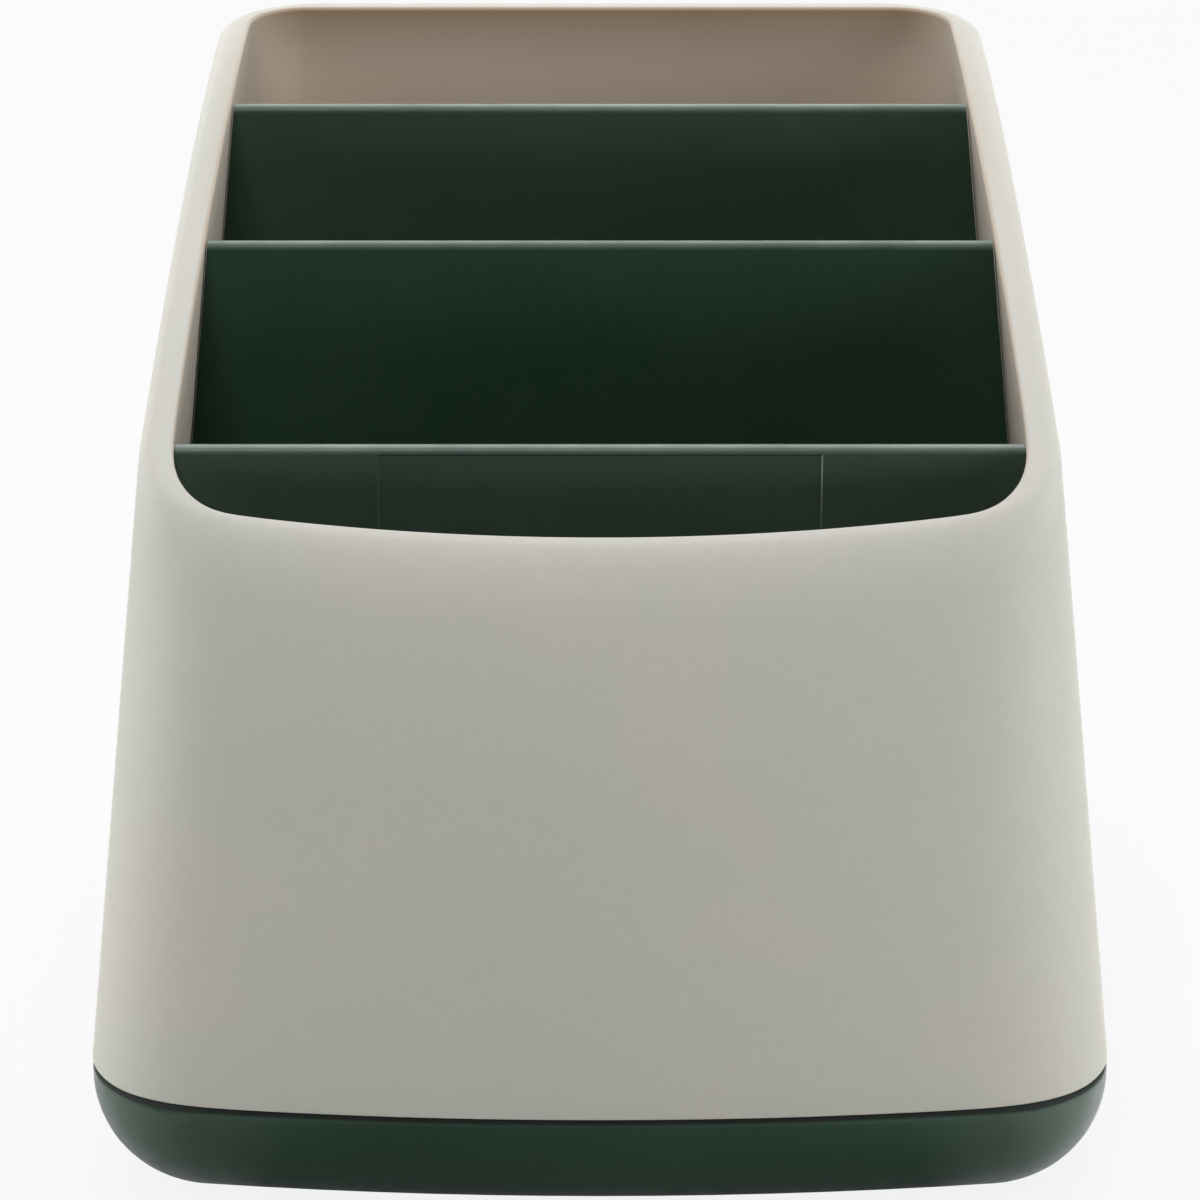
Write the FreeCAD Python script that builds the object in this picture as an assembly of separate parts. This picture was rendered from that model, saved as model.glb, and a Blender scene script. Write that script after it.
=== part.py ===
import FreeCAD, Part
import math
import os

V = FreeCAD.Vector

# Overall sizes in mm, taken at the seam between the shell and the base
width = 110.0
depth = 117.0
height = 110.4

# Feet and base
foot_proud = 0.8
foot_radius = 5.5
foot_seat = 1.2
foot_gap = 0.15
foot_edge = 0.4
foot_boss_wall = 2.0
foot_inset = 25.0
base_height = 14.1
base_side = 1.8
base_top_edge = 1.2
floor_height = 6.0
floor_thick = 2.8
floor_round = 4.0
underside_margin = 15.0

# Outline of the shell and the base
bow_radius = 326.0
corner_front = 13.4
corner_rear = 15.3
corner_fade = 0.37
corner_spare = 0.5
draft_angle = 6.05

# Shell wall and rim
wall = 3.4
rim_rise = 40.6
rim_crest_setback = 5.8
rim_round_outer = 1.5
rim_round_inner = 0.5
shell_foot_edge = 0.3

# Spigot of the base inside the shell
spigot_gap = 0.3
spigot_wall = 1.8
spigot_height = 5.0

# Dividers
divider_thick = 1.6
first_divider = 20.5
divider_pitch = 27.7
front_drop = 0.8
middle_drop = 0.65
rear_drop = 1.2
divider_side_gap = 0.2
divider_edge = 0.3
panel_half = 24.0
panel_step = 0.15
panel_margin = 1.2
channel_wall = 1.4
channel_height = 5.0
channel_gap = 0.1
tab_width = 12.0
tab_offset = 13.0
tab_gap = 0.15

# Values worked out from the sizes above
draft = math.tan(math.radians(draft_angle))
base_bottom = foot_proud
seam = base_bottom + base_height
base_round = min(base_height - base_side, min(corner_front, corner_rear) - corner_spare)
floor_top = base_bottom + floor_height
floor_under = floor_top - floor_thick
spigot_top = seam + spigot_height
rim_crest = depth - rim_crest_setback
tray_inset = wall + spigot_gap + spigot_wall + draft * spigot_height
clear = 1.0
reach_past = 5.0
least_corner = 1.5
on_curve = 0.05
on_level = 0.0001

os.makedirs("parts", exist_ok=True)


def rim_height(y):
    """Height of the rim at a distance y behind the front face."""
    share = (rim_crest - y) / rim_crest
    return height - rim_rise * share * share


def outline(z, inset, taper=True):
    """Closed outline of the body at height z, moved inwards by inset."""
    lean = draft * (z - seam) if taper else 0.0
    half = width / 2 - lean - inset
    front = lean + inset
    rear = depth - lean - inset
    bow = bow_radius - inset
    rf = max(corner_front - corner_fade * lean - inset, least_corner)
    rr = max(corner_rear - corner_fade * lean - inset, least_corner)
    cy = front + bow - math.sqrt((bow - rf) ** 2 - (half - rf) ** 2)
    cx = half - rf
    reach = math.hypot(cx, front + bow - cy)
    ux = cx / reach
    uy = (cy - front - bow) / reach
    tx = cx + rf * ux
    ty = cy + rf * uy
    turn = math.atan2(uy, ux) / 2
    mx = cx + rf * math.cos(turn)
    my = cy + rf * math.sin(turn)
    ry = rear - rr
    rx = half - rr
    d = rr * math.sqrt(0.5)

    def p(x, y):
        return V(x, y - depth / 2, z)

    edges = [
        Part.Arc(p(-tx, ty), p(0, front), p(tx, ty)).toShape(),
        Part.Arc(p(tx, ty), p(mx, my), p(half, cy)).toShape(),
        Part.LineSegment(p(half, cy), p(half, ry)).toShape(),
        Part.Arc(p(half, ry), p(rx + d, ry + d), p(rx, rear)).toShape(),
        Part.LineSegment(p(rx, rear), p(-rx, rear)).toShape(),
        Part.Arc(p(-rx, rear), p(-rx - d, ry + d), p(-half, ry)).toShape(),
        Part.LineSegment(p(-half, ry), p(-half, cy)).toShape(),
        Part.Arc(p(-half, cy), p(-mx, my), p(-tx, ty)).toShape(),
    ]
    return Part.Wire(edges)


def tapered(z0, z1, inset):
    """Solid that follows the drafted body between two heights."""
    return Part.makeLoft([outline(z0, inset), outline(z1, inset)], True, True)


def upright(z0, z1, inset):
    """Solid with upright sides on the seam outline."""
    face = Part.Face(outline(z0, inset, taper=False))
    return face.extrude(V(0, 0, z1 - z0))


def edges_at(shape, z):
    """Edges that lie flat at height z."""
    found = []
    for edge in shape.Edges:
        box = edge.BoundBox
        if abs(box.ZMin - z) < on_level and abs(box.ZMax - z) < on_level:
            found.append(edge)
    return found


def box(x0, x1, y0, y1, z0, z1):
    """Box given by its limits, y measured from the front face."""
    return Part.makeBox(x1 - x0, y1 - y0, z1 - z0, V(x0, y0 - depth / 2, z0))


# Shell: drafted outer body less the inner body, cut along the rim curve
shell_top = height + reach_past
body = tapered(seam, shell_top, 0.0)
hollow = tapered(seam - clear, shell_top + clear, wall)
y_a = -reach_past
y_b = depth + reach_past
slope_a = 2 * rim_rise * (rim_crest - y_a) / (rim_crest * rim_crest)
z_a = rim_height(y_a)
z_b = rim_height(y_b)
z_m = z_a + slope_a * (y_b - y_a) / 2
left = -width
curve = Part.BezierCurve()
curve.setPoles([
    V(left, y_a - depth / 2, z_a),
    V(left, (y_a + y_b) / 2 - depth / 2, z_m),
    V(left, y_b - depth / 2, z_b),
])
high = shell_top + reach_past
c0 = V(left, y_a - depth / 2, z_a)
c1 = V(left, y_b - depth / 2, z_b)
c2 = V(left, y_b - depth / 2, high)
c3 = V(left, y_a - depth / 2, high)
above = Part.Face(Part.Wire([
    curve.toShape(),
    Part.LineSegment(c1, c2).toShape(),
    Part.LineSegment(c2, c3).toShape(),
    Part.LineSegment(c3, c0).toShape(),
])).extrude(V(2 * width, 0, 0))
shell = body.cut(hollow).cut(above)


def rim_edges(shape, inset):
    """Edges of the rim that lie on the wall face at the given inset."""
    found = []
    for edge in shape.Edges:
        mid = edge.valueAt((edge.FirstParameter + edge.LastParameter) / 2)
        if abs(mid.z - rim_height(mid.y + depth / 2)) > on_curve:
            continue
        ring = outline(mid.z, inset)
        if ring.distToShape(Part.Vertex(mid))[0] < wall / 4:
            found.append(edge)
    return found


shell = shell.makeFillet(rim_round_outer, rim_edges(shell, 0.0))
shell = shell.makeFillet(rim_round_inner, rim_edges(shell, wall))
shell = shell.makeFillet(shell_foot_edge, edges_at(shell, seam))

# Base: dish with a large round underneath, a spigot for the shell and a hollow underside
tray = upright(base_bottom, seam, 0.0)
tray = tray.makeFillet(base_round, edges_at(tray, base_bottom))
tray = tray.makeFillet(base_top_edge, edges_at(tray, seam))
spigot = tapered(seam - clear, spigot_top, wall + spigot_gap)
filled = tray.fuse(spigot)
cavity = upright(floor_top, spigot_top + clear, tray_inset)
cavity = cavity.makeFillet(floor_round, edges_at(cavity, floor_top))
pocket = upright(base_bottom - clear, floor_under, underside_margin)
base = filled.cut(cavity).cut(pocket)

# Foot places, one in each corner of the underside
foot_x = width / 2 - foot_inset
foot_y = depth / 2 - foot_inset
foot_spots = {
    "front_left": V(-foot_x, -foot_y, 0),
    "front_right": V(foot_x, -foot_y, 0),
    "rear_left": V(-foot_x, foot_y, 0),
    "rear_right": V(foot_x, foot_y, 0),
}
seat_top = base_bottom + foot_seat
seat_radius = foot_radius + foot_gap
boss_radius = seat_radius + foot_boss_wall
boss_height = floor_under + clear - base_bottom
for spot in foot_spots.values():
    boss = Part.makeCylinder(boss_radius, boss_height, spot + V(0, 0, base_bottom))
    base = base.fuse(boss)
for spot in foot_spots.values():
    low = spot + V(0, 0, base_bottom - clear)
    base = base.cut(Part.makeCylinder(seat_radius, foot_seat + clear, low))

# Dividers stand in channels on the floor, each with two tabs through it
divider_places = {
    "front": (first_divider, front_drop),
    "middle": (first_divider + divider_pitch, middle_drop),
    "rear": (first_divider + 2 * divider_pitch, rear_drop),
}
channel_top = floor_top + channel_height
shoulder = spigot_top + 2 * divider_side_gap
rib_end = width / 2 - tray_inset + spigot_wall / 2
plate_room = tapered(seam - clear, shell_top, wall + divider_side_gap)
foot_room = upright(floor_top, shoulder, tray_inset + divider_side_gap)
foot_room = foot_room.makeFillet(floor_round, edges_at(foot_room, floor_top))
ribs = []
slots = []
dividers = {}
for name, (y, drop) in divider_places.items():
    y_back = y + divider_thick
    rib_low = floor_top - floor_thick / 2
    rib_faces = (y - channel_gap - channel_wall, y_back + channel_gap)
    for face in rib_faces:
        ribs.append(box(-rib_end, rib_end, face, face + channel_wall, rib_low, channel_top))
    top = rim_height(y) - drop
    upper = box(-width, width, y, y_back, shoulder, top).common(plate_room)
    lower = box(-width, width, y, y_back, floor_top, shoulder).common(foot_room)
    plate = upper.fuse(lower).removeSplitter()
    top_edges = [e for e in edges_at(plate, top) if e.Length > width / 4]
    plate = plate.makeFillet(divider_edge, top_edges)
    if name == "front":
        panel_low = channel_top + clear
        panel_top = top - panel_margin
        panel = box(-panel_half, panel_half, y - clear, y + panel_step, panel_low, panel_top)
        plate = plate.cut(panel)
    for side in (-1, 1):
        left_x = side * tab_offset - tab_width / 2
        right_x = left_x + tab_width
        tab = box(left_x, right_x, y, y_back, floor_under + tab_gap, floor_top + clear)
        plate = plate.fuse(tab)
        slots.append(box(
            left_x - tab_gap, right_x + tab_gap, y - tab_gap, y_back + tab_gap,
            floor_under - clear, floor_top + clear))
    dividers[name] = plate.removeSplitter()
for rib in ribs:
    base = base.fuse(rib.common(filled.fuse(cavity)))
for slot in slots:
    base = base.cut(slot)
base = base.removeSplitter()

# Feet: plain round pads with a rounded lower edge
foot_shapes = {}
for name, spot in foot_spots.items():
    pad = Part.makeCylinder(foot_radius, seat_top, spot)
    pad = pad.makeFillet(foot_edge, edges_at(pad, 0.0))
    foot_shapes[name] = pad

shell.exportStep("parts/outer_shell.step")
base.exportStep("parts/base_tray.step")
for name, plate in dividers.items():
    plate.exportStep("parts/" + name + "_divider.step")
for name, pad in foot_shapes.items():
    pad.exportStep("parts/foot_" + name + ".step")

made = {"shell": shell, "base": base, **dividers, **foot_shapes}
for name, shape in made.items():
    b = shape.optimalBoundingBox()
    low = [round(b.XMin, 2), round(b.YMin, 2), round(b.ZMin, 2)]
    up = [round(b.XMax, 2), round(b.YMax, 2), round(b.ZMax, 2)]
    print(name, shape.isValid(), len(shape.Solids), round(shape.Volume), low, up)
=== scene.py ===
# %% [markdown]
# A desk holder for remote controls, dressed for the camera.
# The real thing is three mouldings: a cream sleeve with a soft rolled lip, a dark green dish
# that it stands on, and green plates that split the room inside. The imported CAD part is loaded
# first as a fixed frame, because everything made here has to sit exactly where it says.

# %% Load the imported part
import math

import bmesh
import bpy
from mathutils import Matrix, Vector


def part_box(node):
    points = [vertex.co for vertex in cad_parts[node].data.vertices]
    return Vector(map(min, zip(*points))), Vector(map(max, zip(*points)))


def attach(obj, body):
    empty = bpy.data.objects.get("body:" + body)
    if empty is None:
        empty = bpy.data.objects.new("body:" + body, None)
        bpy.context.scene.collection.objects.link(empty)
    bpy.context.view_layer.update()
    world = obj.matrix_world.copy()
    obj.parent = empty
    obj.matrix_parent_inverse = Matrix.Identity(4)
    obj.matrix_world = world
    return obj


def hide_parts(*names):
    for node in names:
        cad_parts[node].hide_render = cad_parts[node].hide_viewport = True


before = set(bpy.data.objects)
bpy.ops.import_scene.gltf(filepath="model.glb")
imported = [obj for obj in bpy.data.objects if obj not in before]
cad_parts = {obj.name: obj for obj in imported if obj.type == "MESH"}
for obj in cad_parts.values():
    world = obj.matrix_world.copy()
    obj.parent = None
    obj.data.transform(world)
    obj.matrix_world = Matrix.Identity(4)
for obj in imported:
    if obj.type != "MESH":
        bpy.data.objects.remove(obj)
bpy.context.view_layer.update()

print("CAD nodes:", sorted(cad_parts))

# %% [markdown]
# Sizes come before shapes. The holder is 110 mm wide and 117 mm deep where sleeve and dish meet,
# and both outlines are the same there, so one set of values draws the sleeve. Lengths are written
# in millimetres and turned into metres with one factor, which keeps them easy to check by ruler.

# %% Sizes of the sleeve
mm = 0.001
half_width = 55.0 * mm
half_depth = 58.5 * mm
bow_radius = 326.0 * mm
front_corner = 13.4 * mm
rear_corner = 15.3 * mm
corner_fade = 0.37
wall = 3.4 * mm
draft = math.tan(math.radians(6.05))
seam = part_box("outer_shell")[0].z
crest = 110.39 * mm
sleeve_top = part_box("outer_shell")[1].z
print("seam at", round(seam / mm, 2), "mm, sleeve top at", round(sleeve_top / mm, 2), "mm")

# %% [markdown]
# The camera stands in front and looks down by about 21 degrees, with a long lens from close to
# half a metre. It was found by matching the seam, the rim and the plates with the photograph.
# It is set up before any modelling, so that each piece can be judged in its final view.

# %% Camera
look_down = 0.36
stand_off = 420.383 * mm
aim_height = 73.17 * mm
camera_data = bpy.data.cameras.new("front_view")
camera_data.sensor_width = 36.0
camera_data.lens = 126.0
camera = bpy.data.objects.new("front_view", camera_data)
bpy.context.scene.collection.objects.link(camera)
camera.location = (
    0.0,
    -half_depth - stand_off * math.cos(look_down),
    aim_height + stand_off * math.sin(look_down),
)
camera.rotation_euler = (math.pi / 2 - look_down, 0.0, 0.0)
bpy.context.scene.camera = camera
print("camera at", [round(c / mm) for c in camera.location], "mm")

# %% [markdown]
# The sleeve starts as its outline at the seam. A plane cut to shape would do, but its corners and
# its slightly bowed front have to run into each other without a kink. So a plane is merged to one
# point, and that point is spun round the centre of each arc in turn, as a compass draws a line.
# Only the right half is drawn, from the middle of the front to the middle of the back.


# %% Helpers for edit mode
def start_piece(name, place):
    """A new mesh object of one point, open in edit mode."""
    bpy.ops.object.select_all(action="DESELECT")
    bpy.ops.mesh.primitive_plane_add(size=mm, location=place)
    piece = bpy.context.active_object
    piece.name = name
    piece.data.name = name
    bpy.ops.object.transform_apply(location=True, rotation=True, scale=True)
    bpy.ops.object.mode_set(mode="EDIT")
    bpy.ops.mesh.select_mode(type="VERT")
    bpy.ops.mesh.merge(type="CENTER")
    return piece


def draw_arc(center, angle, steps):
    """Spins the chosen end point round an upright axis. Seen from above, spin turns clockwise."""
    bpy.ops.mesh.spin(steps=steps, angle=-angle, center=center, axis=(0, 0, 1))


def draw_line(step, count):
    """Extrudes the chosen end point along a straight line in equal steps."""
    for _ in range(count):
        bpy.ops.mesh.extrude_region_move(TRANSFORM_OT_translate={"value": step})


# %% One outline of the sleeve
bow_steps = 36
corner_steps = 24
side_steps = 34
back_steps = 22


def draw_outline(name, z, inset=0.0, front_more=0.0, rear_more=0.0):
    """Half an outline at height z, moved in by inset, with corner radii made larger or smaller."""
    lean = draft * (z - seam)
    inwards = lean + inset
    front = half_depth - inwards
    front_radius = front_corner - corner_fade * lean - inset + front_more
    rear_radius = rear_corner - corner_fade * lean - inset + rear_more
    bow = bow_radius - inset
    bow_y = bow - front
    front_x = half_width - inwards - front_radius
    front_y = bow_y - math.sqrt((bow - front_radius) ** 2 - front_x ** 2)
    bow_angle = math.atan2(front_x, bow_y - front_y)
    rear_x = half_width - inwards - rear_radius
    rear_y = front - rear_radius
    piece = start_piece(name, (0.0, -front, z))
    draw_arc((0.0, bow_y, z), bow_angle, bow_steps)
    draw_arc((front_x, front_y, z), math.pi / 2 - bow_angle, corner_steps)
    draw_line((0.0, (rear_y - front_y) / side_steps, 0.0), side_steps)
    draw_arc((rear_x, rear_y, z), math.pi / 2, corner_steps)
    draw_line((-rear_x / back_steps, 0.0, 0.0), back_steps)
    return piece


# %% [markdown]
# The walls lean inwards by six degrees, so that the moulding leaves its tool, and the corners get
# tighter on the way up. Two outlines with the same number of points say all of that: one at the seam
# and one at the height of the crest. Each point carries a number while it is extruded later, so any
# ring between the two can be laid as a blend of them. The inner face has two outlines of its own,
# because towards the top its corners are rounder at the front and tighter at the back than the wall
# alone would make them. All but the seam outline are only guides. An arc that meets a flatter one
# shows the join in its shading, so the front corners are evened out point by point.

# %% Draw the guides and the seam outline
tiny = 0.01 * mm
corner_start = 0.4 * half_width


def number_chain(piece):
    """Numbers the points of a half outline from front to back and returns their places."""
    mesh = bmesh.from_edit_mesh(piece.data)
    number = mesh.verts.layers.int.new("number")
    chain = [p for p in mesh.verts if abs(p.co.x) < tiny and p.co.y < 0]
    ahead = chain
    while ahead:
        ahead = [e.other_vert(chain[-1]) for e in chain[-1].link_edges]
        ahead = [p for p in ahead if p not in chain[-2:]]
        chain.extend(ahead)
    for i, p in enumerate(chain):
        p[number] = i
    bmesh.update_edit_mesh(piece.data)
    return [p.co.xy.copy() for p in chain]


def soften_corner(piece, passes):
    """Evens out the front corner of an outline in passes of (how far back, how many times)."""
    mesh = bmesh.from_edit_mesh(piece.data)
    front = min(p.co.y for p in mesh.verts)
    for reach, times in passes:
        for p in mesh.verts:
            p.select = p.co.x > corner_start and p.co.y < front + reach
        bmesh.update_edit_mesh(piece.data)
        bpy.ops.mesh.vertices_smooth(factor=0.5, repeat=times)


def guide_outline(z, inset=0.0, front_more=0.0, rear_more=0.0, passes=()):
    """Draws an outline only to read the places of its points."""
    guide = draw_outline("guide", z, inset, front_more, rear_more)
    soften_corner(guide, passes)
    places = number_chain(guide)
    bpy.ops.object.mode_set(mode="OBJECT")
    bpy.data.objects.remove(guide)
    return places


run_out = [(9.0 * mm, 6), (12.0 * mm, 6)]
crest_passes = [(6.0 * mm, 70), *run_out]
seam_passes = [(6.0 * mm, 25), *run_out]
inner_passes = [(21.6 * mm, 30)]
inner_front_more = 0.5 * mm
inner_rear_more = -1.5 * mm
crest_outline = guide_outline(crest, passes=crest_passes)
crest_inner = guide_outline(crest, wall, inner_front_more, inner_rear_more, inner_passes)
seam_inner = guide_outline(seam, wall)
sleeve = draw_outline("sleeve", seam)
soften_corner(sleeve, seam_passes)
seam_outline = number_chain(sleeve)
last = len(seam_outline) - 1
guides = (seam_outline, crest_outline, crest_inner)
print("points in each half outline:", [len(guide) for guide in guides])

# %% Outward directions along the outline
outward = [Vector((0.0, -1.0))]
for before, after in zip(seam_outline, seam_outline[2:]):
    along = (after - before).normalized()
    outward.append(Vector((along.y, -along.x)))
outward.append(Vector((0.0, 1.0)))
print("front", outward[0], "back", outward[last])

# %% [markdown]
# Seen from the side, the rim falls from back to front along a parabola. A ring near the rim is laid
# by how far it drops below that curve, and a ring lower down by its plain height. Where a ring ends
# up depends on its height and its height on where it is, so the last helper settles it in a few turns.

# %% Rim curve and rings on the leaning walls
rim_rise = 40.78 * mm
rim_run = 111.2 * mm
crest_y = rim_run - half_depth
settle_turns = 6


def rim_height(y):
    """Height of the rim above the table at a place y, front to back."""
    share = (crest_y - y) / rim_run
    return crest - rim_rise * share * share


def on_wall(i, inset, z):
    """Point number i of a ring, moved in from the outer face by inset at a plain height z."""
    lean = (z - seam) / (crest - seam)
    plan = seam_outline[i].lerp(crest_outline[i], lean) - inset * outward[i]
    return Vector((plan.x, plan.y, z))


def on_inner(i, outset, z):
    """Point number i of a ring, moved out from the inner face by outset at a plain height z."""
    lean = (z - seam) / (crest - seam)
    plan = seam_inner[i].lerp(crest_inner[i], lean) + outset * outward[i]
    return Vector((plan.x, plan.y, z))


def below_rim(i, offset, drop, face=on_wall):
    """Point number i of a ring, offset from a face and set below the rim by drop."""
    z = crest
    for _ in range(settle_turns):
        z = rim_height(face(i, offset, z).y) - drop
    return face(i, offset, z)


print("rim heights, front and back:", round(rim_height(-half_depth) / mm, 1), round(crest / mm, 1))

# %% [markdown]
# The lip is what gives this holder its soft look. At the front the wall does not end in an edge: over
# its last two centimetres it turns inwards, slowly at first and then faster, until it lies on the rim.
# A bevel has one radius and would show a line where it starts, so the turn is laid ring by ring from
# a curve without a start. Round the corners it runs out into a plain small radius on the sides.
# At the other end of the wall a thin lip hangs over the joint by a fifth of a millimetre.

# %% Profile of the rolled lip
roll = 19.0 * mm
inner_round = 0.5 * mm
rim_flat = 0.4 * mm
roll_reach = wall - inner_round - rim_flat
front_fullness = 1.3 * mm
side_round = 1.5 * mm
roll_ease = 0.58
roll_bend = 1.65
frontness = [max(0.0, -out.y) ** 2 for out in outward]


def roll_inset(i, share):
    """How far the outer face has turned in, where share runs from 0 at the rim to 1 below."""
    fullness = front_fullness * frontness[i]
    soft = (roll_reach + fullness) * (1 - share ** roll_ease) ** roll_bend - fullness
    up = max(0.0, side_round - share * roll)
    tight = side_round - math.sqrt(side_round ** 2 - up ** 2)
    return frontness[i] * soft + (1 - frontness[i]) * tight


for share in (1.0, 0.5, 0.2, 0.05, 0.0):
    below = round(share * roll / mm, 1)
    front_turn = round(roll_inset(0, share) / mm, 2)
    print("roll", below, "mm below the rim turns in", front_turn, "mm at the front")


# %% Lay the outer wall and the roll
def lay_ring(place):
    """Moves each chosen point to where place(number) puts it."""
    mesh = bmesh.from_edit_mesh(sleeve.data)
    layer = mesh.verts.layers.int["number"]
    for p in mesh.verts:
        if p.select:
            p.co = place(p[layer])
    bmesh.update_edit_mesh(sleeve.data)


def next_ring(place):
    """Extrudes the chosen loop and lays the new loop with place(number)."""
    bpy.ops.mesh.extrude_region_move()
    lay_ring(place)


foot_round = 0.3 * mm
foot_reach = 0.75 * mm
foot_drop = 0.2 * mm
foot_rings = 5
wall_rings = 12
roll_rings = 20
ring_crowding = 2.2
bpy.ops.mesh.select_all(action="SELECT")
lay_ring(lambda i: on_wall(i, foot_reach, seam))
next_ring(lambda i: on_wall(i, foot_round, seam - foot_drop))
for ring in range(1, foot_rings + 1):
    turn = math.pi / 2 * ring / foot_rings
    inset = foot_round * (1 - math.sin(turn))
    rise = foot_round * (1 - math.cos(turn))
    next_ring(lambda i: on_wall(i, inset, seam - foot_drop + rise))
roll_start = [below_rim(i, roll_inset(i, 1.0), roll).z for i in range(last + 1)]


def outer_wall(share):
    """A ring of the outer wall, share of the way from the seam to the roll."""
    def place(i):
        z = seam + share * (roll_start[i] - seam)
        return on_wall(i, roll_inset(i, 1.0) * share, z)

    return place


for ring in range(1, wall_rings):
    next_ring(outer_wall(ring / wall_rings))
for ring in range(roll_rings + 1):
    share = (1 - ring / roll_rings) ** ring_crowding
    next_ring(lambda i: below_rim(i, roll_inset(i, share), share * roll))
print("outer rings laid:", foot_rings + wall_rings + roll_rings + 2)

# %% Lay the rim and the inner wall
round_rings = 5
next_ring(lambda i: below_rim(i, inner_round, 0.0, on_inner))
for ring in range(1, round_rings + 1):
    turn = math.pi / 2 * ring / round_rings
    outset = inner_round * (1 - math.sin(turn))
    drop = inner_round * (1 - math.cos(turn))
    next_ring(lambda i: below_rim(i, outset, drop, on_inner))
inner_top = [below_rim(i, 0.0, inner_round, on_inner).z for i in range(last + 1)]


def inner_wall(share):
    """A ring of the inner wall, share of the way down from the rim to the seam."""
    def place(i):
        z = inner_top[i] + share * (seam + foot_round - inner_top[i])
        return on_inner(i, 0.0, z)

    return place


for ring in range(1, wall_rings + 1):
    next_ring(inner_wall(ring / wall_rings))
foot_middle = 0.3 * foot_round
next_ring(lambda i: on_inner(i, foot_middle, seam + foot_middle))
next_ring(lambda i: on_inner(i, foot_round, seam))
print("rim and inner rings laid:", round_rings + wall_rings + 3)

# %% [markdown]
# The other half is a mirror image. After the mirror is applied, the two open loops under the wall
# are joined by a bridge, which makes the sleeve one closed skin, and its normals are turned
# outwards. Smooth shading by angle keeps the small flat under the wall crisp.


# %% Mirror, close and smooth the sleeve
sleeve_smooth = math.radians(40)


def apply_all_modifiers(piece):
    """Applies the modifiers of a piece in their order."""
    bpy.context.view_layer.objects.active = piece
    for modifier in list(piece.modifiers):
        bpy.ops.object.modifier_apply(modifier=modifier.name)


def mirror_half(piece):
    """Leaves edit mode and adds the left half of a piece."""
    bpy.ops.object.mode_set(mode="OBJECT")
    mirror = piece.modifiers.new("other_half", "MIRROR")
    mirror.use_axis = (True, False, False)
    mirror.use_clip = True
    mirror.merge_threshold = tiny
    apply_all_modifiers(piece)


mirror_half(sleeve)
bpy.ops.object.mode_set(mode="EDIT")
bpy.ops.mesh.select_mode(type="EDGE")
bpy.ops.mesh.select_all(action="DESELECT")
bpy.ops.mesh.select_non_manifold(extend=False)
bpy.ops.mesh.bridge_edge_loops()
bpy.ops.mesh.select_all(action="SELECT")
bpy.ops.mesh.remove_doubles(threshold=0.1 * tiny)
bpy.ops.mesh.normals_make_consistent(inside=False)
bpy.ops.object.mode_set(mode="OBJECT")
bpy.ops.object.shade_smooth_by_angle(angle=sleeve_smooth)
sleeve.data.attributes.remove(sleeve.data.attributes["number"])


def count_open(piece):
    """How many edges of a finished mesh have a face on one side only."""
    mesh = bmesh.new()
    mesh.from_mesh(piece.data)
    count = sum(not e.is_manifold for e in mesh.edges)
    mesh.free()
    return count


print("sleeve faces:", len(sleeve.data.polygons), "open edges:", count_open(sleeve))

# %% Stand the sleeve in for its CAD node
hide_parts("outer_shell")
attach(sleeve, "shell")

# %% [markdown]
# The three plates catch the eye by their top edges, which are rounded over the full thickness and
# carry one thin line of light each, partly a real highlight on the rounding and partly a painted
# highlight in their colour. A plate is drawn as half an outline, mirrored, filled and pulled to its
# thickness, and then its two long top edges are beveled until they nearly meet. Its flanks lean with
# the walls of the sleeve, its foot is narrower where it stands in the dish, and two tabs go through
# the floor.

# %% Sizes of the plates
plate_thick = 1.6 * mm
side_gap = 0.2 * mm
shoulder = 20.3 * mm
dish_floor = 6.8 * mm
foot_half = 48.7 * mm
foot_cut = 4.0 * mm
tab_low = 4.15 * mm
tab_inner = 7.0 * mm
tab_outer = 19.0 * mm
top_round = 0.76 * mm
top_spare = 0.15 * mm
round_segments = 8
plate_smooth = math.radians(30)


def plate_half(z):
    """Half the width of a plate at height z."""
    return half_width - draft * (z - seam) - wall - side_gap


# %% One plate
def draw_plate(name, face_y, top):
    """A plate with its front face at face_y, left open in edit mode."""
    piece = start_piece(name, (0.0, face_y, top))
    draw_line((plate_half(top), 0.0, 0.0), 1)
    draw_line((plate_half(shoulder) - plate_half(top), 0.0, shoulder - top), 1)
    draw_line((foot_half - plate_half(shoulder), 0.0, 0.0), 1)
    draw_line((0.0, 0.0, dish_floor + foot_cut - shoulder), 1)
    draw_line((-foot_cut, 0.0, -foot_cut), 1)
    draw_line((tab_outer + foot_cut - foot_half, 0.0, 0.0), 1)
    draw_line((0.0, 0.0, tab_low - dish_floor), 1)
    draw_line((tab_inner - tab_outer, 0.0, 0.0), 1)
    draw_line((0.0, 0.0, dish_floor - tab_low), 1)
    draw_line((-tab_inner, 0.0, 0.0), 1)
    mirror_half(piece)
    bpy.ops.object.mode_set(mode="EDIT")
    bpy.ops.mesh.select_all(action="SELECT")
    bpy.ops.mesh.edge_face_add()
    bpy.ops.mesh.extrude_region_move(TRANSFORM_OT_translate={"value": (0.0, plate_thick, 0.0)})
    bpy.ops.mesh.select_all(action="SELECT")
    bpy.ops.mesh.normals_make_consistent(inside=False)
    return piece


def round_top(piece, top):
    """Bevels the two long top edges of a plate."""
    mesh = bmesh.from_edit_mesh(piece.data)
    for edge in mesh.edges:
        ends = [p.co for p in edge.verts]
        level = all(abs(place.z - top) < tiny for place in ends)
        edge.select_set(level and abs(ends[0].y - ends[1].y) < tiny)
    bmesh.update_edit_mesh(piece.data)
    bpy.ops.mesh.bevel(offset=top_round, segments=round_segments, profile=0.5)
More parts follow.
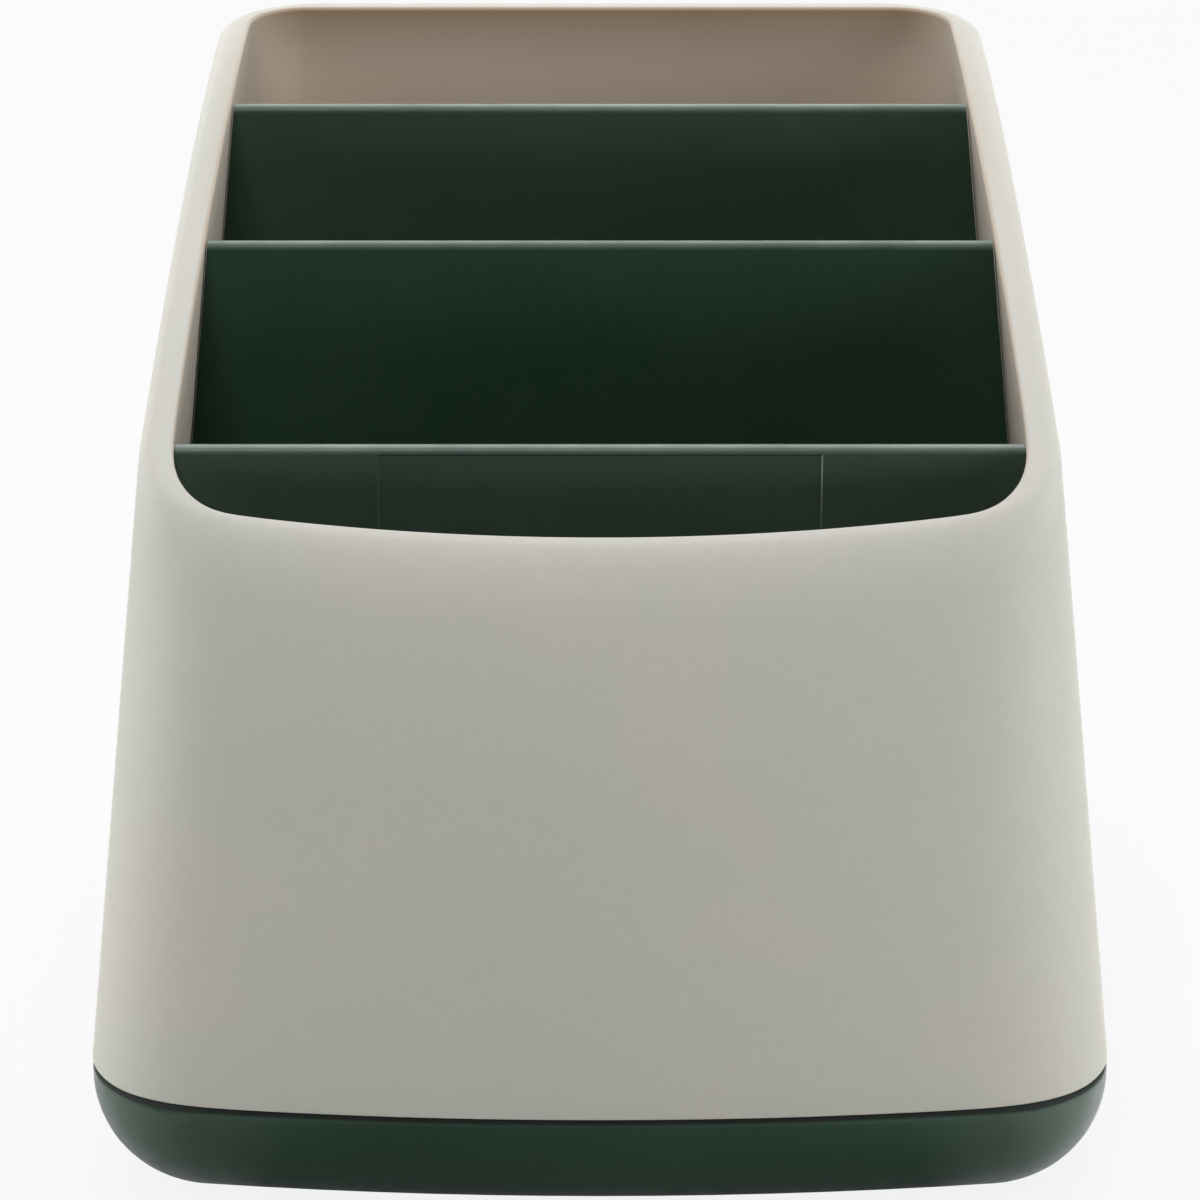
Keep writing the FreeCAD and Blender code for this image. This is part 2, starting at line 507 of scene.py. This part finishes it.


# %% [markdown]
# The front plate has a shallow panel in its middle, whose narrow sloping border shows as two thin
# upright lines, and the right one carries a painted glint. Four cuts with bisect mark the panel, and an
# inset sinks it.

# %% Sink the panel of the front plate
panel_half = 23.2 * mm
panel_low = 13.0 * mm
panel_margin = 0.85 * mm
panel_step = 0.15 * mm
ahead_from = -0.9
sloping_from = -0.3


def sink_panel(piece, face_y, top):
    """Cuts a panel into the front face and sets it back."""
    cuts = (
        ((panel_half, 0.0, 0.0), (1, 0, 0)),
        ((-panel_half, 0.0, 0.0), (1, 0, 0)),
        ((0.0, 0.0, panel_low), (0, 0, 1)),
        ((0.0, 0.0, top - panel_margin), (0, 0, 1)),
    )
    for place, way in cuts:
        bpy.ops.mesh.select_all(action="SELECT")
        bpy.ops.mesh.bisect(plane_co=place, plane_no=way)
    bpy.ops.mesh.select_mode(type="FACE")
    mesh = bmesh.from_edit_mesh(piece.data)
    for face in mesh.faces:
        middle = face.calc_center_median()
        ahead = face.normal.y < ahead_from and abs(middle.y - face_y) < tiny
        on_panel = abs(middle.x) < panel_half and panel_low < middle.z < top - panel_margin
        face.select_set(ahead and on_panel)
    bmesh.update_edit_mesh(piece.data)
    bpy.ops.mesh.inset(thickness=panel_step, depth=-panel_step)
    # The right border, whose faces slope towards the middle, takes the second material, which paints a
    # glint on it.
    mesh = bmesh.from_edit_mesh(piece.data)
    for face in mesh.faces:
        sloping = face.normal.y < sloping_from and face.normal.x < sloping_from
        face.material_index = 1 if sloping else 0
    bmesh.update_edit_mesh(piece.data)
    bpy.ops.mesh.select_mode(type="EDGE")


# %% Make the plates
plates = {}
for row in ("front", "middle", "rear"):
    node = row + "_divider"
    face_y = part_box(node)[0].y
    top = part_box(node)[1].z - top_spare
    plate = draw_plate(row + "_plate", face_y, top)
    plate.data.materials.append(None)
    bpy.ops.mesh.select_mode(type="EDGE")
    if row == "front":
        plate.data.materials.append(None)
        sink_panel(plate, face_y, top)
    round_top(plate, top)
    bpy.ops.object.mode_set(mode="OBJECT")
    bpy.ops.object.shade_smooth_by_angle(angle=plate_smooth)
    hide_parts(node)
    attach(plate, "base")
    plates[plate] = top
    print(plate.name, len(plate.data.polygons), "faces, open edges:", count_open(plate))

# %% [markdown]
# The finishes come next. All three are plastics or rubber that left a mould, so none has a print or
# a weave. What makes them look real is small: a fine spark-eroded grain, slow drifts of colour and
# gloss across a face, and lips that hands have polished, painted paler partly as wear and partly as
# light on the rim. Everything is driven by noise on Object coordinates, in metres, so a noise scale of
# 1000 has cells of about a millimetre.


# %% Helpers for finishes
def new_finish(name):
    """A node material with its shader, its nodes and a place to read coordinates from."""
    material = bpy.data.materials.new(name)
    material.use_nodes = True
    nodes = material.node_tree.nodes
    shader = nodes["Principled BSDF"]
    place = nodes.new("ShaderNodeTexCoord").outputs["Object"]
    return material, nodes, shader, place


def join(material, source, target):
    """Links an output socket to an input socket."""
    material.node_tree.links.new(source, target)


def noise(material, place, scale, detail=2.0, rough=0.5):
    """A noise texture on the piece's own coordinates."""
    texture = material.node_tree.nodes.new("ShaderNodeTexNoise")
    texture.inputs["Scale"].default_value = scale
    texture.inputs["Detail"].default_value = detail
    texture.inputs["Roughness"].default_value = rough
    join(material, place, texture.inputs["Vector"])
    return texture.outputs["Fac"]


def spread(material, value, low, high, start=0.3, end=0.7):
    """Maps a noise value from start..end to low..high."""
    node = material.node_tree.nodes.new("ShaderNodeMapRange")
    node.inputs["From Min"].default_value = start
    node.inputs["From Max"].default_value = end
    node.inputs["To Min"].default_value = low
    node.inputs["To Max"].default_value = high
    join(material, value, node.inputs["Value"])
    return node.outputs["Result"]


def drift(material, value, stops):
    """A colour ramp over a value, with (place, colour) stops."""
    node = material.node_tree.nodes.new("ShaderNodeValToRGB")
    ramp = node.color_ramp
    while len(ramp.elements) < len(stops):
        ramp.elements.new(0.5)
    for element, (at, colour) in zip(ramp.elements, stops):
        element.position = at
        element.color = (*colour, 1.0)
    join(material, value, node.inputs["Fac"])
    return node.outputs["Color"]


def mix(material, factor, first, second, kind="MIX"):
    """Mixes two colours by a factor socket."""
    node = material.node_tree.nodes.new("ShaderNodeMix")
    node.data_type = "RGBA"
    node.blend_type = kind
    join(material, factor, node.inputs["Factor"])
    join(material, first, node.inputs[6])
    join(material, second, node.inputs[7])
    return node.outputs[2]


def bump(material, height, depth, strength, under=None):
    """Turns a height value into a bumped normal, on top of another bump if there is one."""
    node = material.node_tree.nodes.new("ShaderNodeBump")
    node.inputs["Distance"].default_value = depth
    node.inputs["Strength"].default_value = strength
    join(material, height, node.inputs["Height"])
    if under is not None:
        join(material, under, node.inputs["Normal"])
    return node.outputs["Normal"]


# %% [markdown]
# The cream of the sleeve is not one colour: it drifts between a warmer and a cooler cream over a few
# centimetres, with a fine salt-like mottle on top. Attributes stored on the points of the mesh say
# where a place is special. One marks the lip, which is paler, partly from handling wear and partly as
# painted light on the rim. One marks the inside, which carries a painted warm bounce light, and two
# more part its back wall: painted shade, darker and browner, just below the rim, and painted light, a
# paler sand colour, further down.

# %% Mark the lip and the inside, where wear, painted light and painted shade go
lip_band_depth = 5.0 * mm
shade_depth = 8.5 * mm
shade_bend = 1.4
inner_gain = 2.0
marks = ("lip_wear_and_light", "inside", "rear_painted_shade", "rear_painted_light")
for mark in marks:
    sleeve.data.attributes.new(mark, "FLOAT", "POINT")
lip_wear_and_light, inside, rear_painted_shade, rear_painted_light = [sleeve.data.attributes[mark].data for mark in marks]
# The lip band is partly wear and partly painted light; the inside gets painted warm bounce light; the
# back wall gets painted shade high up and painted light lower down.
for i, point in enumerate(sleeve.data.vertices):
    drop = rim_height(point.co.y) - point.co.z
    middle_ward = Vector((-point.co.x / half_width, -point.co.y / half_depth)).normalized()
    inward = min(1.0, max(0.0, inner_gain * middle_ward.dot(point.normal.xy)))
    rear = inward * max(0.0, -point.normal.y)
    low = min(1.0, max(0.0, drop / shade_depth)) ** shade_bend
    inside[i].value = inward
    lip_wear_and_light[i].value = max(0.0, 1.0 - abs(drop) / lip_band_depth) * (1.0 - inward)
    rear_painted_shade[i].value = rear * (1.0 - low)
    rear_painted_light[i].value = rear * low
half_marked = 0.5
print("points marked inside:", sum(v.value > half_marked for v in inside))

# %% Cream finish
cream, cream_nodes, cream_shader, cream_place = new_finish("cream_moulding")


def marked(attribute, low, high):
    """Reads one of the sleeve's attributes as a share between low and high."""
    reader = cream_nodes.new("ShaderNodeAttribute")
    reader.attribute_name = attribute
    return spread(cream, reader.outputs["Fac"], low, high, 0.0, 1.0)


cool_cream = (0.522, 0.536, 0.479)
warm_cream = (0.566, 0.543, 0.479)
dark_salt = (0.508, 0.500, 0.440)
pale_salt = (0.600, 0.592, 0.530)
dark_polish_and_light = (0.646, 0.624, 0.588)
pale_polish_and_light = (0.676, 0.654, 0.620)
slow = noise(cream, cream_place, 26.0, 3.0)
mottle = noise(cream, cream_place, 900.0, 4.0, 0.65)
drifting = drift(cream, slow, [(0.32, cool_cream), (0.68, warm_cream)])
salted = drift(cream, mottle, [(0.25, dark_salt), (0.75, pale_salt)])
patches = spread(cream, noise(cream, cream_place, 120.0), 0.12, 0.34)
mottled = mix(cream, patches, drifting, salted)
# The lip is paler, partly from handling wear and partly as painted light where the rim faces up.
polish_and_light = drift(cream, mottle, [(0.3, dark_polish_and_light), (0.7, pale_polish_and_light)])
worn_and_lit_lip = mix(cream, marked("lip_wear_and_light", 0.0, 0.45), mottled, polish_and_light)
print("cream nodes of the outside:", len(cream_nodes))

# %% Painted light and shade of the inside
dark_shade = (0.560, 0.488, 0.412)
pale_shade = (0.590, 0.515, 0.440)
dark_brown = (0.385, 0.250, 0.148)
pale_brown = (0.412, 0.275, 0.168)
dark_sand = (0.825, 0.665, 0.522)
pale_sand = (0.855, 0.695, 0.550)
shaded = drift(cream, slow, [(0.3, dark_shade), (0.7, pale_shade)])
brown = drift(cream, slow, [(0.3, dark_brown), (0.7, pale_brown)])
sand = drift(cream, slow, [(0.3, dark_sand), (0.7, pale_sand)])
# Painted light and shade inside: a warm painted bounce light on the inner faces, painted shade on the
# back wall below the rim, and painted light lower down on it.
lined = mix(cream, marked("inside", 0.0, 0.8), worn_and_lit_lip, shaded)
top_painted_shade = mix(cream, marked("rear_painted_shade", 0.0, 0.9), lined, brown)
low_painted_light = mix(cream, marked("rear_painted_light", 0.0, 0.9), top_painted_shade, sand)
join(cream, low_painted_light, cream_shader.inputs["Base Color"])
print("cream nodes with the inside:", len(cream_nodes))

# %% Gloss and grain of the cream
dull = spread(cream, noise(cream, cream_place, 340.0, 3.0), 0.50, 0.60)
join(cream, dull, cream_shader.inputs["Roughness"])
waves = bump(cream, noise(cream, cream_place, 55.0, 1.0), 0.25 * mm, 0.10)
grain = bump(cream, noise(cream, cream_place, 3200.0, 3.0, 0.6), 0.03 * mm, 0.35, waves)
join(cream, grain, cream_shader.inputs["Normal"])
cream_shader.inputs["Specular IOR Level"].default_value = 0.3
sleeve.data.materials.clear()
sleeve.data.materials.append(cream)
print("cream nodes in all:", len(cream_nodes))

# %% [markdown]
# The dish and the plates are the same dark green, moulded in a satin tool. The CAD shape of the dish
# is right, so that node stays and only takes a better material. A dark plastic is judged by its
# highlights, so most of the detail here is in roughness and bump and less in colour. Each piece also
# has one thin band along an edge painted into its colour: the top of a plate carries a painted
# highlight, and the joint under the sleeve carries painted shade on the dish, where it is also dull.


# %% A band along an edge
def band(material, place, low, high, stops):
    """A share that changes with height between two levels, by (place, share) stops."""
    split = material.node_tree.nodes.new("ShaderNodeSeparateXYZ")
    join(material, place, split.inputs["Vector"])
    level = spread(material, split.outputs["Z"], 0.0, 1.0, low, high)
    return drift(material, level, [(at, (share, share, share)) for at, share in stops])


# %% Green finish for the dish and the plates
def green_finish(name, deep, fresh, roughest, shine, edge):
    """Dark green satin plastic, from a deep to a fresher green, with a painted band along one edge."""
    green, _, shader, place = new_finish(name)
    cloud = noise(green, place, 34.0, 3.0)
    middle = [(a + b) / 2 for a, b in zip(deep, fresh)]
    tone = drift(green, cloud, [(0.3, deep), (0.52, middle), (0.72, fresh)])
    fleck = drift(green, noise(green, place, 1100.0, 3.0, 0.6), [(0.35, deep), (0.8, fresh)])
    mixed = mix(green, spread(green, noise(green, place, 150.0), 0.1, 0.4), tone, fleck)
    low, high, stops, dim, bright, edge_rough = edge
    # The band along the edge is painted into the colour: a painted highlight on a plate's crest, a
    # painted glint on the panel border, painted shade in the dish's joint.
    at_edge = band(green, place, low, high, stops)
    painted_edge_band = drift(green, noise(green, place, 90.0, 4.0, 0.6), [(0.3, dim), (0.7, bright)])
    join(green, mix(green, at_edge, mixed, painted_edge_band), shader.inputs["Base Color"])
    gloss = spread(green, noise(green, place, 420.0, 3.0), roughest - 0.1, roughest)
    turned = spread(green, at_edge, roughest, edge_rough, 0.0, 1.0)
    join(green, gloss, turned.node.inputs["To Min"])
    join(green, turned, shader.inputs["Roughness"])
    waves = bump(green, noise(green, place, 70.0, 1.0), 0.2 * mm, 0.10)
    grain = bump(green, noise(green, place, 3600.0, 2.0, 0.6), 0.025 * mm, 0.30, waves)
    join(green, grain, shader.inputs["Normal"])
    shader.inputs["Specular IOR Level"].default_value = shine
    return green


def dress(node_name, material):
    """Gives a CAD node a new material in its only slot."""
    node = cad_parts[node_name]
    node.data.materials.clear()
    node.data.materials.append(material)


# Painted shade in the joint: the top edge of the dish under the sleeve is painted dark where the
# sleeve's shadow falls, and made dull.
in_joint = [(0.0, 0.0), (0.2, 1.0), (0.8, 1.0), (1.0, 0.0)]
joint_low = seam - 0.9 * mm
joint_high = seam + 0.25 * mm
joint_shade_dim = (0.003, 0.008, 0.005)
joint_shade_bright = (0.005, 0.012, 0.008)
joint = (joint_low, joint_high, in_joint, joint_shade_dim, joint_shade_bright, 0.8)
dish_deep = (0.016, 0.047, 0.027)
dish_fresh = (0.025, 0.062, 0.038)
dish_green = green_finish("green_dish", dish_deep, dish_fresh, 0.40, 0.45, joint)
dress("base_tray", dish_green)
print("green on the dish, dull in the joint at", round(seam / mm, 1), "mm")

# %% Green of each plate, with painted shade and light and painted highlights
# Painted shade and light between the plates: the middle plate is painted darkest and the front one
# palest, for how much light reaches each compartment.
plate_lit_and_shaded_tones = {
    "front_plate": ((0.031, 0.058, 0.041), (0.048, 0.076, 0.057), 0.25),
    "middle_plate": ((0.017, 0.044, 0.026), (0.028, 0.058, 0.038), 0.08),
    "rear_plate": ((0.024, 0.052, 0.034), (0.037, 0.067, 0.046), 0.20),
}
plate_rough = 0.42
to_crest = [(0.0, 0.0), (0.45, 0.24), (0.70, 0.38), (0.83, 0.60), (0.93, 0.90), (1.0, 1.0)]
crest_depth = 0.9 * mm
crest_highlight_dim = (0.185, 0.23, 0.205)
crest_highlight_bright = (0.31, 0.37, 0.335)
to_line = [(0.0, 0.0), (0.35, 0.2), (0.7, 0.85), (1.0, 1.0)]
line_depth = 9.0 * mm
glint_line_dim = (0.30, 0.36, 0.33)
glint_line_bright = (0.44, 0.50, 0.46)
glint_border_deep = (0.07, 0.10, 0.085)
glint_border_fresh = (0.12, 0.16, 0.14)
# Each plate's crest carries a painted highlight, palest at the top and fading down; the front plate's
# right panel border carries a painted glint.
for plate, top in plates.items():
    deep, fresh, shine = plate_lit_and_shaded_tones[plate.name]
    painted_crest_highlight = (top - crest_depth, top, to_crest, crest_highlight_dim, crest_highlight_bright, 0.28)
    plate_green = green_finish("green_" + plate.name, deep, fresh, plate_rough, shine, painted_crest_highlight)
    plate.data.materials[0] = plate_green
    if len(plate.data.materials) > 1:
        painted_glint_line = (top - line_depth, top, to_line, glint_line_dim, glint_line_bright, 0.35)
        glint = green_finish(
            "green_border_painted_glint", glint_border_deep, glint_border_fresh, plate_rough, shine, painted_glint_line)
        plate.data.materials[1] = glint
    print("green on", plate.name, "rubbed at", round(top / mm, 1), "mm")

# %% [markdown]
# The four pads under the dish are soft dark rubber: rougher than any plastic, with a grain that is
# easy to see close up. They hardly show, but they hold the dish just off the table.

# %% Rubber finish for the pads
dark_rubber = (0.030, 0.030, 0.031)
dusty_rubber = (0.056, 0.055, 0.053)
rubber, _, rubber_shader, rubber_place = new_finish("pad_rubber")
dusty = noise(rubber, rubber_place, 260.0, 4.0, 0.6)
rubber_tone = drift(rubber, dusty, [(0.3, dark_rubber), (0.75, dusty_rubber)])
join(rubber, rubber_tone, rubber_shader.inputs["Base Color"])
join(rubber, spread(rubber, dusty, 0.78, 0.92), rubber_shader.inputs["Roughness"])
pores = bump(rubber, noise(rubber, rubber_place, 2400.0, 3.0, 0.7), 0.06 * mm, 0.5)
join(rubber, pores, rubber_shader.inputs["Normal"])
for corner in ("front_left", "front_right", "rear_left", "rear_right"):
    dress("foot_" + corner, rubber)
print("rubber on four pads")

# %% [markdown]
# The stage is a plain white table in front of a white backdrop, under soft studio light. The backdrop
# lights from behind and the two side boxes from the flanks, the right one a little cooler, which is
# why the rounded corners are paler than the front. A wide soft box hangs above for the rim, a small one
# above the camera fills the front, and a long one behind draws thin lines along the plates. The table
# looks white but takes a shadow. In reflections it glows as painted light, bright beside the holder and
# dim in front of it, as these boxes would light it.

# %% White table
table_size = 6.0
table_grey = (0.66, 0.66, 0.66, 1.0)
bpy.ops.object.select_all(action="DESELECT")
bpy.ops.mesh.primitive_plane_add(size=table_size, location=(0.0, 0.0, 0.0))
table = bpy.context.active_object
table.name = "table"
paper = bpy.data.materials.new("white_table")
paper.use_nodes = True
paper_nodes = paper.node_tree.nodes
paper_shader = paper_nodes["Principled BSDF"]
paper_shader.inputs["Base Color"].default_value = table_grey
paper_shader.inputs["Roughness"].default_value = 0.9
paper_shader.inputs["Specular IOR Level"].default_value = 0.0
seen = paper_nodes.new("ShaderNodeLightPath")
glow = paper_nodes.new("ShaderNodeEmission")
lit = paper_nodes.new("ShaderNodeMixShader")
table.data.materials.append(paper)
print("table", [round(d, 1) for d in table.dimensions])


# %% How the table shows to the camera, and its painted glow in reflections
def paper_math(operation, first, second):
    """A math node of the table's paper on two values or sockets."""
    node = paper_nodes.new("ShaderNodeMath")
    node.operation = operation
    for slot, value in zip(node.inputs, (first, second)):
        if isinstance(value, float):
            slot.default_value = value
        else:
            join(paper, value, slot)
    return node.outputs["Value"]


dim_front = 0.12
left_glow = 1.2
right_glow = 1.8
glow_start = 36.0 * mm
glow_full = 70.0 * mm
white_share = 0.87
table_place = paper_nodes.new("ShaderNodeSeparateXYZ")
table_coordinates = paper_nodes.new("ShaderNodeTexCoord")
join(paper, table_coordinates.outputs["Object"], table_place.inputs["Vector"])
across = table_place.outputs["X"]
# In reflections the table glows as painted light, brighter beside the holder than in front of it.
left_part = spread(paper, across, left_glow, dim_front, -glow_full, -glow_start)
right_part = spread(paper, across, dim_front, right_glow, glow_start, glow_full)
beside = paper_math("MAXIMUM", left_part, right_part)
to_camera = seen.outputs["Is Camera Ray"]
to_gloss = seen.outputs["Is Glossy Ray"]
in_mirrors = paper_math("MAXIMUM", to_gloss, seen.outputs["Is Transmission Ray"])
in_view = paper_math("MULTIPLY", to_camera, white_share)
painted_side_glow = paper_math("MULTIPLY", beside, in_mirrors)
join(paper, paper_math("MAXIMUM", to_camera, painted_side_glow), glow.inputs["Strength"])
join(paper, paper_math("MAXIMUM", in_view, in_mirrors), lit.inputs["Fac"])
join(paper, paper_shader.outputs["BSDF"], lit.inputs[1])
join(paper, glow.outputs["Emission"], lit.inputs[2])
join(paper, lit.outputs["Shader"], paper_nodes["Material Output"].inputs["Surface"])
print("table nodes:", len(paper_nodes))

# %% Backdrop that lights from behind and the sides
room_tone = (1.0, 0.985, 0.96, 1.0)
room_strength = 0.75
front_end = -0.35
rear_start = 0.45
world = bpy.data.worlds.new("studio")
bpy.context.scene.world = world
world.use_nodes = True
world_nodes = world.node_tree.nodes
room = world_nodes["Background"]
room.inputs["Color"].default_value = room_tone
backdrop = world_nodes.new("ShaderNodeBackground")
backdrop.inputs["Color"].default_value = (1.0, 1.0, 1.0, 1.0)
backdrop.inputs["Strength"].default_value = 1.0
way = world_nodes.new("ShaderNodeSeparateXYZ")
join(world, world_nodes.new("ShaderNodeTexCoord").outputs["Generated"], way.inputs["Vector"])
behind = spread(world, way.outputs["Y"], 0.0, 1.0, front_end, rear_start)
join(world, spread(world, behind, 0.0, room_strength, 0.0, 1.0), room.inputs["Strength"])
print("backdrop nodes:", len(world_nodes))


# %% White where the camera looks, and in reflections of the backdrop
def combine(operation, first, second):
    """A math node of the world on two sockets."""
    node = world_nodes.new("ShaderNodeMath")
    node.operation = operation
    join(world, first, node.inputs[0])
    join(world, second, node.inputs[1])
    return node.outputs["Value"]


ray = world_nodes.new("ShaderNodeLightPath").outputs
reflected = combine("MAXIMUM", ray["Is Glossy Ray"], ray["Is Transmission Ray"])
mirrored = combine("MULTIPLY", reflected, behind)
chooser = world_nodes.new("ShaderNodeMixShader")
join(world, combine("MAXIMUM", ray["Is Camera Ray"], mirrored), chooser.inputs["Fac"])
join(world, room.outputs["Background"], chooser.inputs[1])
join(world, backdrop.outputs["Background"], chooser.inputs[2])
join(world, chooser.outputs["Shader"], world_nodes["World Output"].inputs["Surface"])
print("world nodes:", len(world_nodes))


# %% Soft boxes
def soft_box(name, place, aim, width, height, watts, tint=(1.0, 1.0, 1.0)):
    """A rectangular area light that faces a point."""
    lamp = bpy.data.lights.new(name, "AREA")
    lamp.shape = "RECTANGLE"
    lamp.size = width
    lamp.size_y = height
    lamp.energy = watts
    lamp.color = tint
    box = bpy.data.objects.new(name, lamp)
    bpy.context.scene.collection.objects.link(box)
    box.location = place
    box.visible_camera = False
    facing = Vector(aim) - Vector(place)
    box.rotation_euler = facing.to_track_quat("-Z", "Y").to_euler()


floor_aim = (0.0, 0.0, 0.05)
middle_aim = (0.0, 0.0, 0.06)
plate_aim = (0.0, 0.0, 0.09)
cooler = (0.975, 1.0, 1.0)
soft_box("top_box", (0.0, 0.05, 0.85), floor_aim, 0.6, 0.6, 2.95)
soft_box("key_box", (-0.12, -0.66, 0.66), middle_aim, 0.24, 0.24, 2.15)
soft_box("left_box", (-0.75, 0.02, 0.26), middle_aim, 0.4, 0.5, 2.9)
soft_box("right_box", (0.75, -0.20, 0.26), middle_aim, 0.4, 0.5, 3.1, cooler)
soft_box("back_box", (0.0, 0.95, 0.38), plate_aim, 1.1, 0.3, 2.3)
print("five soft boxes")

# %% [markdown]
# Last, the view transform is set to Standard.

# %% Finish
bpy.context.scene.view_settings.view_transform = "Standard"
